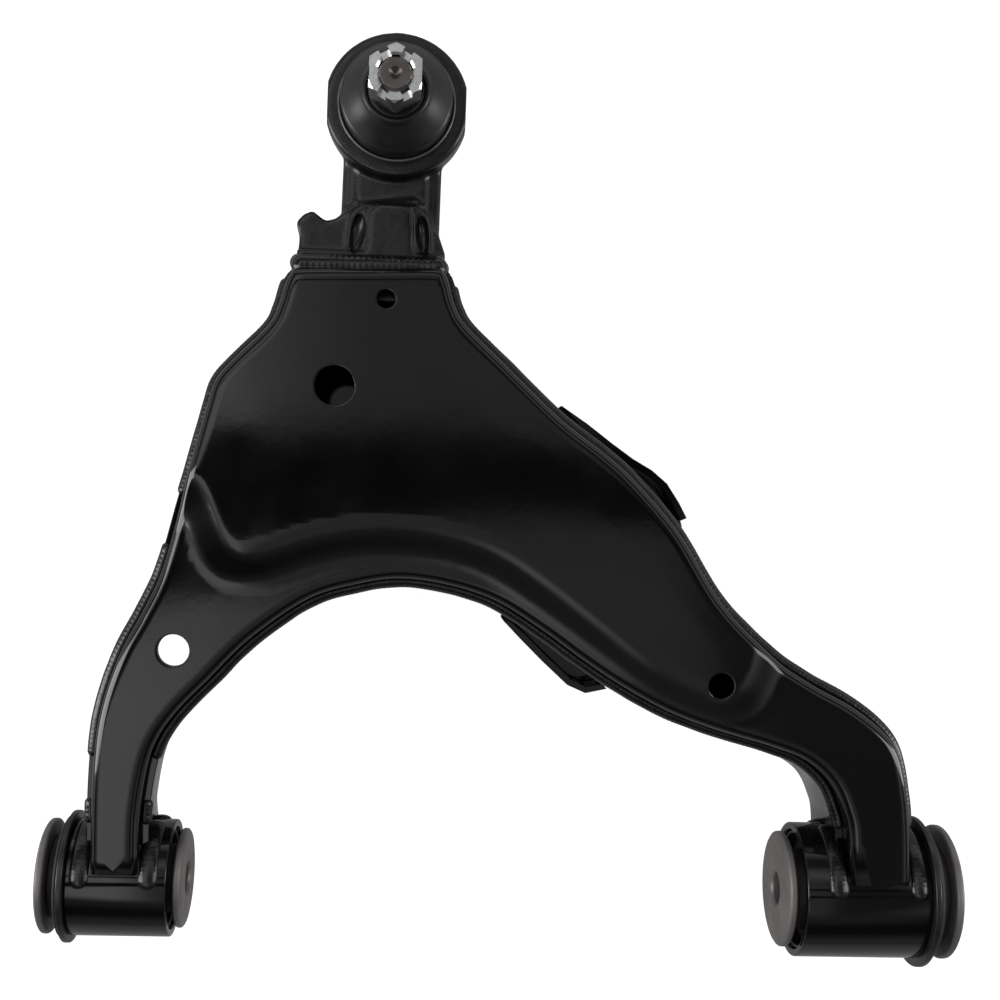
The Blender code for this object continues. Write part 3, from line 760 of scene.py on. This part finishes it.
def forging_beads():
    """The weld round the pressings' end, on to the forged shank: above, below and down each side."""
    for face, name in ((1, "top"), (-1, "low")):
        path = []
        for i in range(40):
            x = -109.5 + 75.5 * i / 39
            spot = (x, FORGING_WELD_Y + 0.02 * (x + 72), face * FORGING_WELD_Z)
            path.append((spot, Vector((0, 0.42, face * 0.9))))
        bead(f"forging_weld_{name}", path, 6.0, 5.2, seed=50, pitch=2.8, ripple=0.025)
    for side, x in ((-1, -107.5), (1, -36.5)):
        path = [((x, 305.5, 22 - 44 * i / 24), Vector((side, 0.35, 0))) for i in range(25)]
        bead(f"forging_weld_side_{side + 1}", path, 4.0, 3.0, seed=60 + side)


# Forged end


FORGED_RING = (
    (-26.5, 0), (18.6, 0), (18.6, 34.6), (17.4, 35.6), (3, 35.4), (-9, 32.5), (-24.5, 28.5), (-26.5, 27),
)
RING_FLAT = 33.8
FORGED_BLOCKS = (
    ("neck", ((-87, 284), (-38.4, 284), (-38.6, 322), (-38.4, 369), (-87, 369), (-87.4, 330)), -16, 10),
    ("neck_web", ((-80, 300), (-46, 300), (-46, 360), (-80, 360)), -18, 11.5),
    ("horn", (
        (-80, 336), (-87, 331), (-90.5, 328.2), (-95, 327.4), (-101, 332), (-105.5, 330), (-109, 325.8),
        (-107, 318), (-108, 308), (-107.4, 300), (-36.2, 300), (-35.6, 308), (-35.2, 313), (-38.5, 322),
        (-50, 340),
    ), -14, 13),
    ("boss", ((-83, 309), (-42, 309), (-44, 330), (-50, 335), (-75, 335), (-81, 330)), -12, 21.5),
    ("boss_top", ((-74, 306), (-51, 306), (-52, 331), (-56, 334.5), (-69, 334.5), (-73, 331)), -12, 24.5),
    ("shank", ((-105, 286.3), (-38.2, 286.3), (-38.2, 311), (-105, 311)), -22.5, 22.5),
    ("step", ((-107.5, 303), (-36, 303), (-36.5, 311), (-107, 311)), -20, 24.5),
)
SCOOPS = ((-1, -78.6, 5.0), (1, -46.6, 4.2))
SCOOP_LONG, SCOOP_DEEP = 11.5, 9.0
BALL_BORE = (
    (-31.5, 0), (28, 0), (28, 20.5), (21, 20.5), (18, 18.7), (9.5, 13.5), (9.5, 20.0), (-20, 20), (-20, 22),
    (-24, 22), (-24, 20), (-31.5, 20),
)
HOUSING_LIP = ((15, 20.6), (21, 20.6), (21, 22.5), (18.6, 22.6), (18.0, 24.5), (15, 24.5))
FORGING_SKIN = 1.15


def ball_matrix():
    return place(*BALL)


def half_circle(steps=14):
    """Half a circle of radius 1 as (height, radius) points, which spins to a ball."""
    return [
        (math.cos(math.pi * i / steps), math.sin(math.pi * i / steps) if 0 < i < steps else 0.0)
        for i in range(steps + 1)
    ]


def forged_body():
    """Ring, neck, boss, horn and shank melted into one soft-edged forging, before it is machined."""
    body = turned("forged_end", rounded(FORGED_RING, 2.0), CAST_PAINT, None, matrix=ball_matrix(), rounds=72)
    pieces = [prism(*block, None, None) for block in FORGED_BLOCKS]
    bpy.context.view_layer.update()
    merged = bmesh.new()
    for obj in [body, *pieces]:
        merged.from_mesh(obj.data)
    merged.to_mesh(body.data)
    merged.free()
    for obj in pieces:
        bpy.data.objects.remove(obj, do_unlink=True)
    skin = body.modifiers.new("skin", "REMESH")
    skin.mode = "VOXEL"
    skin.voxel_size = FORGING_SKIN * MM
    soften = body.modifiers.new("soften", "SMOOTH")
    soften.factor = 0.5
    soften.iterations = 9
    apply_modifiers(body)
    return body


def forging():
    body = forged_body()
    cutters = []
    for side in (-1, 1):
        flat = prism(f"ring_flat_{side}", *box((RING_FLAT, -30, -50), (45, 30, 50)), None, None)
        flat.matrix_world = ball_matrix() @ Matrix.Rotation(math.radians(90 - 90 * side), 4, "Z")
        cutters.append(flat)
    for side, x, wide in SCOOPS:
        scoop = turned(f"scoop_{side}", half_circle(), None, None, rounds=40)
        turn = Matrix.Rotation(math.radians(7 * side), 4, "Z")
        scoop.matrix_world = place(x, 320.5, 26.5) @ turn @ Matrix.Diagonal((wide, SCOOP_LONG, SCOOP_DEEP, 1))
        cutters.append(scoop)
    cutters.append(turned("ball_bore", BALL_BORE, None, None, matrix=ball_matrix()))
    combine(body, cutters, "DIFFERENCE")
    body.data.materials.clear()
    body.data.materials.append(CAST_PAINT)
    shade(body.data, 40)
    settle(body, "arm", ["ball_joint_housing"])
    turned("housing_lip", rounded(HOUSING_LIP, 0.3), CAST_PAINT, "arm", matrix=ball_matrix())


# Ball joint


def thread(start, end, pitch, crest, root):
    """The saw-tooth edge of a thread between two heights."""
    count = round((end - start) / pitch)
    points = []
    for i in range(count):
        low = start + (end - start) * i / count
        points += [(low, root), (low + 0.42 * pitch, crest), (low + 0.58 * pitch, crest)]
    return points + [(end, root)]


BOOT_OUTER = (
    (18.3, 22.9), (18.3, 27.0), (19.4, 27.3), (21.6, 27.0), (22.6, 26.0), (24.0, 25.4), (25.6, 25.6),
    (27.4, 26.6), (28.7, 27.2), (29.8, 26.9), (31.5, 25.7), (34.0, 23.9), (37.0, 21.5), (39.6, 19.2),
    (41.4, 17.4), (42.6, 16.6), (43.8, 16.1), (44.4, 15.4), (44.3, 14.2), (43.6, 13.6),
)
BOOT_INNER = ((38.0, 13.6), (36.2, 16.4), (33.0, 19.6), (28.8, 23.2), (26.0, 23.2), (24.0, 22.9))
BOOT_SPLIT = (31.5, 20.8)
SKIRT_BLEND = (19.5, 31.0)
COLLAR_BLEND = (31.6, 38.0)
BOOT_RING = ((18.5, 27.5), (18.5, 28.8), (21.6, 28.8), (21.6, 27.5))
BOOT_THROAT = ((38.2, 9.9), (38.2, 13.4), (43.9, 13.4), (43.9, 11.2), (42.6, 9.9))
STUD_BALL_R = 15
STUD_NECK = ((15.6, 7.7), (20, 7.5), (29, 9.6), (49.4, 8.5), (50.4, 8.0))
STUD_THREAD = (50.8, 67.4)
STUD_TIP = ((67.7, 7.9), (68.4, 7.4), (68.7, 6.9), (68.7, 3.2), (68.3, 2.6), (66.4, 0.9), (66.0, 0.0))
CUP_CAP = (
    (-23.6, 0), (-21.7, 0), (-21.7, 13.6), (-20.4, 16), (-20.4, 21.6), (-23.6, 21.6), (-23.6, 18),
    (-22.9, 16.5), (-23.3, 14.5),
)


def dust_boot(matrix):
    """The boot in two halves, with its spring ring and its throat."""
    split = BOOT_SPLIT[0]
    skirt = [p for p in BOOT_OUTER if p[0] <= split] + [BOOT_SPLIT] + [p for p in BOOT_INNER if p[0] < split]
    collar = [p for p in BOOT_OUTER if p[0] >= split] + [p for p in BOOT_INNER if p[0] > split] + [BOOT_SPLIT]
    turned_boot("boot_skirt", skirt, "arm", "swing_carrier", *SKIRT_BLEND)
    turned_boot("boot_collar", collar, "swing_carrier", "rock_carrier", *COLLAR_BLEND)
    turned(
        "boot_clip_ring", rounded(BOOT_RING, 0.6), SPRING_STEEL, "arm",
        ["boot_base_ring"], matrix,
    )
    turned(
        "boot_throat", rounded(BOOT_THROAT, 0.5), BOOT_RUBBER, "rock_carrier",
        ["boot_neck_ring"], matrix, rounds=64,
    )


def ball_joint():
    matrix = ball_matrix()
    dust_boot(matrix)
    angles = [math.radians(a) for a in range(160, 28, -6)]
    ball = [(STUD_BALL_R * math.cos(a), STUD_BALL_R * math.sin(a)) for a in angles]
    stud = [*ball, *STUD_NECK, *thread(*STUD_THREAD, 1.5, 7.95, 7.1), *STUD_TIP, (-14.1, 0.0)]
    turned(
        "threaded_stud", stud, STUD_STEEL, "stud", ["ball_stud"], matrix, rounds=64, sharp=30
    )
    turned("cup_cap", rounded(CUP_CAP, 0.5), SPRING_STEEL, "arm", ["end_cap"], matrix)
    castle_nut(matrix)


def turned_boot(name, profile, first, second, start, end):
    """Half of the dust boot, turned about the ball and baked in place on no body. first, second, start and
    end are not used.
    """
    half = turned(name, profile, BOOT_RUBBER, None, matrix=ball_matrix(), sharp=60)
    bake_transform(half)
    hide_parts("dust_boot")


def hexagon(flats, lean=0.0):
    corner = flats / math.sqrt(3)
    angles = [lean + math.tau * i / 6 for i in range(6)]
    return [(corner * math.cos(a), corner * math.sin(a)) for a in angles]


NUT_LOW, NUT_HIGH = 51.5, 70.0
NUT_FLATS = 24.0
NUT_SLOT_WIDE, NUT_SLOT_DEEP = 4.5, 6.0


def castle_nut(matrix):
    low, high = NUT_LOW, NUT_HIGH
    nut = prism("slotted_nut", hexagon(NUT_FLATS, math.radians(30)), low, high, ZINC, None, matrix=matrix)
    shape = (
        (low - 1, 0), (high + 1, 0), (high + 1, 11.6), (high - 1.6, 14.2), (low + 2.0, 14.4), (low - 1, 11.0),
    )
    combine(nut, [turned("nut_shape", shape, None, None, matrix=matrix)], "INTERSECT")
    bore = (
        (low - 5, 0), (high + 5, 0), (high + 5, 9.4), (high - 0.1, 9.2), (high - 1.1, 8.2), (low + 1, 8.2),
        (low - 0.1, 9.2), (low - 5, 9.2),
    )
    cutters = [turned("nut_bore", bore, None, None, matrix=matrix)]
    half = NUT_SLOT_WIDE / 2
    for i in range(3):
        corners = box((-30, -half, high - NUT_SLOT_DEEP), (30, half, high + 5))
        slot = prism(f"nut_slot_{i}", *corners, None, None)
        slot.matrix_world = matrix @ Matrix.Rotation(math.radians(60 * i), 4, "Z")
        cutters.append(slot)
    combine(nut, cutters, "DIFFERENCE")
    ease_edges(nut, 0.35, 2, 25)
    shade(nut.data, 30)
    settle(nut, "stud", ["castle_nut"])


# Bushes


def bush_matrix(bush):
    return place(bush["side"] * BUSH_X) @ Matrix.Rotation(math.radians(90 * bush["side"]), 4, "Y")


TUBE_WALL = 3.5
SLEEVE_WALL = 1.8


def bush_pieces(size, bush):
    """Tube, flanged sleeve, rubber, inner tube and two end plates, over heights along the bush's own axis."""
    matrix = bush_matrix(bush)
    inside, outside = bush["tube_a"]
    flange_in, flange_out = bush["flange_a"]
    tube_r, flange_r, neck = bush["tube_r"], bush["flange_r"], bush["neck_r"]
    bore = tube_r - TUBE_WALL
    sleeve = bore - TUBE_GAP
    liner = sleeve - SLEEVE_WALL
    rubber = liner - TUBE_GAP
    low = bush["inner_a"][1] + 0.3
    high = bush["outer_a"][0] - 0.3
    body = f"{size}_pivot"

    tube = ((inside, bore), (outside, bore), (outside, tube_r), (inside, tube_r))
    turned(
        f"{size}_tube", rounded(tube, 0.8), PAINT, "arm", [f"{size}_eye_tube"], matrix,
        sharp=60,
    )
    flanged = (
        (inside + 2, liner), (flange_out, liner), (flange_out, flange_r), (flange_in, flange_r),
        (flange_in, sleeve), (inside + 2, sleeve),
    )
    turned(
        f"{size}_flanged_sleeve", rounded(flanged, 0.7), SATIN_PAINT, "arm",
        [f"{size}_bush_sleeve"], matrix, sharp=60,
    )
    moulded = (
        (low, 12.3), (high, 12.3), (high, rubber - 2.2), (high - 2.9, rubber - 2.4),
        (high - 3.9, rubber + 2.8), (flange_out + 1.6, flange_r - 2.2), (flange_out + 0.3, flange_r - 2.6),
        (flange_out + 0.3, rubber), (inside + 7, rubber), (inside + 8.5, neck + 2), (inside + 5, neck + 0.8),
        (low + 2.3, neck), (low, neck + 0.6),
    )
    turned(
        f"{size}_rubber", rounded(moulded, 0.9), BUSH_RUBBER, "arm",
        [f"{size}_bush_rubber"], matrix, sharp=60,
    )
    turned(
        f"{size}_inner_tube", rounded(((low, 8), (high, 8), (high, 12), (low, 12)), 0.4), PLATE_STEEL, body,
        [f"{size}_pivot_tube"], matrix, rounds=64,
    )
    for which in ("outer", "inner"):
        turned(
            f"{size}_{which}_washer", rounded(plate_profile(bush, which), 0.5), PLATE_STEEL, body,
            [f"{size}_{which}_plate"], matrix, sharp=60,
        )


def plate_profile(bush, which):
    """An end plate with an eased bore and a small step near its rim, on the side that faces away."""
    near, far = bush[f"{which}_a"]
    radius = bush[f"{which}_r"]
    front, back = (far, near) if which == "outer" else (near, far)
    step = math.copysign(1, back - front)
    return (
        (back, 8.0), (front + step * 1.2, 8.0), (front + step * 0.1, 9.1), (front, 9.4),
        (front, radius - 3.2), (front + step * 0.25, radius - 2.9), (front + step * 0.3, radius - 1.6),
        (front + step * 1.3, radius - 0.1), (front + step * 2.2, radius), (back - step * 0.8, radius),
        (back, radius - 0.9),
    )


# Shock absorber bracket

SADDLE_OUTLINE = (
    (27, 242.5), (41, 233.5), (54, 224), (65, 216.5), (75, 211), (83, 204.5), (89.5, 195),
    (94, 187), (95.3, 182.5), (94.4, 176), (89, 152), (73, 120), (55.5, 98), (44.5, 95.5), (35, 99.5),
    (21.5, 111.5), (10, 122.5), (1, 131.5), (8, 165), (14, 206),
)
SADDLE_Z = (-32.0, -28.3)
SADDLE_WALL_TOP = -9.0
SADDLE_WALL = 3.6
OUTER_STRIP, ARCH_STRIP = (0, 8), (12, 18)
SHOCK_CENTRE = (46.0, 166.0)
SHOCK_GAP = 46.0
EAR_SHEET = 5
EAR_R = 19
BOLT_Z = -61.0
BOLT_HOLE_R = 7.3
WELD_NUT_LONG = 12


def saddle_strip(name, first, last):
    """A wall that stands on the saddle's edge between two of its outline's points."""
    loop = [Vector(point) for point in SADDLE_OUTLINE]
    inner = offset_loop(loop, SADDLE_WALL)
    outline = [tuple(p) for p in loop[first:last]] + [tuple(p) for p in reversed(inner[first:last])]
    return prism(name, outline, SADDLE_Z[0] + 0.4, SADDLE_WALL_TOP, None, None)


def saddle():
    made = prism("bracket_saddle", SADDLE_OUTLINE, *SADDLE_Z, PAINT, None)
    walls = [saddle_strip("outer_strip", *OUTER_STRIP), saddle_strip("arch_strip", *ARCH_STRIP)]
    combine(made, walls, "UNION")
    ease_edges(made, 1.1, 3, 35)
    shade(made.data, 30)
    settle(made, "arm", ["shock_bracket_saddle"])


def bolt_hole(name, matrix):
    profile = ((-CUT_REACH, 0), (CUT_REACH, 0), (CUT_REACH, BOLT_HOLE_R), (-CUT_REACH, BOLT_HOLE_R))
    return turned(name, profile, None, None, matrix=matrix, rounds=48)


def shock_ear(name, side):
    """A plate that hangs from the saddle, with a round end about its bolt hole and a weld along its top."""
    matrix = place(*SHOCK_CENTRE) @ ALONG_PIVOT
    angles = [math.radians(a) for a in range(-170, -9, 5)]
    tip = [(EAR_R * math.cos(a), BOLT_Z + EAR_R * math.sin(a)) for a in angles]
    outline = [(-29, -32.3), (-28.6, -36), *tip, (28.6, -36), (29, -32.3)]
    near, far = side * SHOCK_GAP / 2, side * (SHOCK_GAP / 2 + EAR_SHEET)
    ear = prism(f"{name}_plate", outline, min(near, far), max(near, far), PAINT, None, matrix=matrix)
    combine(ear, [bolt_hole(f"{name}_cutter", matrix @ place(0, BOLT_Z))], "DIFFERENCE")
    ease_edges(ear, 0.7, 2, 40)
    shade(ear.data, 30)
    settle(ear, "arm", [name])
    x, y = SHOCK_CENTRE[0] + far, SHOCK_CENTRE[1]
    path = [((x, y - 27 + 54 * i / 30, SADDLE_Z[0] - 0.2), Vector((side, 0, -1))) for i in range(31)]
    bead(f"{name}_weld", path, 3.4, 2.8, seed=70 + side)


def bracket():
    saddle()
    shock_ear("inner_shock_ear", -1)
    shock_ear("outer_shock_ear", 1)
    face = -SHOCK_GAP / 2 - EAR_SHEET - TUBE_GAP
    matrix = place(*SHOCK_CENTRE, BOLT_Z) @ ALONG_PIVOT
    nut = prism("weld_nut", hexagon(NUT_FLATS), face - WELD_NUT_LONG, face, ZINC, None, matrix=matrix)
    combine(nut, [bolt_hole("weld_nut_bore", matrix)], "DIFFERENCE")
    ease_edges(nut, 0.5, 2, 40)
    settle(nut, "arm", ["shock_bolt_nut"])


# Stage


FLOOR_Z = -0.0815
FLOOR_GLOW = (0.16, 0.93)
GAP_EDGES = (((-0.035, 1.0, 0.0), 0.044), ((0.203, -1.0, 0.0), 0.038))
STRIP_Y = 0.222
SIDE_LEVELS = (
    (0.0, 0.3), (0.45, 0.9), (0.62, 1.0), (0.72, 0.55), (0.80, 0.1), (0.90, 0.12), (0.965, 0.8), (1.0, 1.0),
)
CAMERA_AT = (-0.0460, 0.1930, 0.6987)
CAMERA_LEAN = -3.5
CAMERA_ROLL = 1.989


def stage():
    """A pale floor that glows white to the camera and more softly to the piece."""
    bm = bmesh.new()
    bmesh.ops.create_grid(bm, x_segments=2, y_segments=2, size=6.0)
    mesh = bpy.data.meshes.new("floor")
    bm.to_mesh(mesh)
    bm.free()
    floor = bpy.data.objects.new("floor", mesh)
    floor.location = (0, 0, FLOOR_Z)
    bpy.context.scene.collection.objects.link(floor)
    made = bpy.data.materials.new("pale_floor")
    made.use_nodes = True
    tree = made.node_tree
    shader = tree.nodes["Principled BSDF"]
    shader.inputs["Base Color"].default_value = (0.3, 0.3, 0.3, 1)
    shader.inputs["Roughness"].default_value = 0.9
    shader.inputs["Specular IOR Level"].default_value = 0.0
    shader.inputs["Emission Color"].default_value = (1, 1, 1, 1)
    path = add_node(tree, "ShaderNodeLightPath")
    glow = remap(tree, path.outputs["Is Camera Ray"], 0, 1, *FLOOR_GLOW)
    tree.links.new(glow, shader.inputs["Emission Strength"])
    mesh.materials.append(made)


def two_values(tree, operation, first, second):
    """Arithmetic on two values, each a socket or a float."""
    node = add_node(tree, "ShaderNodeMath", operation=operation)
    for socket, value in zip(node.inputs, (first, second)):
        if isinstance(value, float):
            socket.default_value = value
        else:
            tree.links.new(value, socket)
    return node.outputs[0]


def overhead_light(tree, direction, split):
    """Two wide soft boxes with a slanting dark gap between them, brighter towards -X and dim towards +X."""
    edges = []
    for lean, start in GAP_EDGES:
        dot = add_node(tree, "ShaderNodeVectorMath", operation="DOT_PRODUCT")
        tree.links.new(direction, dot.inputs[0])
        dot.inputs[1].default_value = lean
        edges.append(two_values(tree, "SUBTRACT", dot.outputs["Value"], start))
    beyond = two_values(tree, "MAXIMUM", *edges)
    level = remap(tree, beyond, -0.004, 0.016, 0.0, 0.36)
    level = two_values(tree, "MULTIPLY", level, remap(tree, split.outputs["X"], -0.22, -0.03, 4.0, 1.0))
    level = two_values(tree, "MULTIPLY", level, remap(tree, split.outputs["X"], 0.17, 0.25, 1.0, 0.25))
    strip = two_values(tree, "ABSOLUTE", two_values(tree, "SUBTRACT", split.outputs["Y"], STRIP_Y), 0.0)
    return two_values(tree, "MULTIPLY", level, remap(tree, strip, 0.018, 0.036, 0.05, 1.0))


def side_light(tree, split):
    """Panels all round, by height, and dimmer towards -Y."""
    ramp = add_node(tree, "ShaderNodeValToRGB")
    elements = ramp.color_ramp.elements
    while len(elements) < len(SIDE_LEVELS):
        elements.new(0.5)
    for element, (at, level) in zip(elements, SIDE_LEVELS):
        element.position = at
        element.color = (level, level, level, 1)
    tree.links.new(remap(tree, split.outputs["Z"], -1, 1, 0, 1), ramp.inputs[0])
    near_side = remap(tree, split.outputs["Y"], -0.5, -0.1, 0.2, 1.0)
    return two_values(tree, "MULTIPLY", ramp.outputs[0], near_side)


def world_light():
    """A studio all round the piece, which the gloss paint mirrors."""
    world = bpy.data.worlds.new("studio")
    bpy.context.scene.world = world
    world.use_nodes = True
    tree = world.node_tree
    back = tree.nodes["Background"]
    split = add_node(tree, "ShaderNodeSeparateXYZ")
    direction = add_node(tree, "ShaderNodeTexCoord").outputs["Generated"]
    tree.links.new(direction, split.inputs[0])
    blend = add_node(tree, "ShaderNodeMix", data_type="FLOAT")
    tree.links.new(remap(tree, split.outputs["Z"], 0.78, 0.9, 0, 1), blend.inputs[0])
    tree.links.new(side_light(tree, split), blend.inputs[2])
    tree.links.new(overhead_light(tree, direction, split), blend.inputs[3])
    tree.links.new(blend.outputs[0], back.inputs["Strength"])
    back.inputs["Color"].default_value = (1, 1, 1, 1)


def softbox(name, spot, target, size, power):
    light = bpy.data.lights.new(name, "AREA")
    light.shape = "RECTANGLE"
    light.size, light.size_y = size
    light.energy = power
    obj = bpy.data.objects.new(name, light)
    bpy.context.scene.collection.objects.link(obj)
    away = Vector(spot) - Vector(target)
    obj.matrix_world = Matrix.Translation(spot) @ away.to_track_quat("Z", "Y").to_matrix().to_4x4()


def camera():
    """A 50 mm lens over the arm, leaning a little towards the small bush."""
    lens = bpy.data.cameras.new("camera")
    lens.lens = 50
    lens.sensor_width = 36
    obj = bpy.data.objects.new("camera", lens)
    bpy.context.scene.collection.objects.link(obj)
    lean = Matrix.Rotation(math.radians(CAMERA_LEAN), 4, "Y")
    roll = Matrix.Rotation(math.radians(CAMERA_ROLL), 4, "Z")
    obj.matrix_world = Matrix.Translation(CAMERA_AT) @ (lean @ roll)
    bpy.context.scene.camera = obj


def main():
    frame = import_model()
    for name, finish in (("ball_seat", ACETAL), ("ball_liner", ACETAL), ("preload_spring", SPRING_STEEL)):
        for slot in frame["nodes"][name].material_slots:
            slot.material = finish
    upper_pressing()
    lower_pressing()
    seam_beads()
    tube_beads()
    forging()
    forging_beads()
    ball_joint()
    for size, bush in BUSHES.items():
        bush_pieces(size, bush)
    bracket()
    stage()
    world_light()
    softbox("left_box", (-1.3, 0.1, 0.5), (0, 0.2, 0), (0.5, 1.4), 12)
    softbox("right_box", (1.3, 0.2, 0.5), (0, 0.2, 0), (0.4, 1.4), 8)
    camera()
    bpy.context.scene.view_settings.view_transform = "Standard"


main()
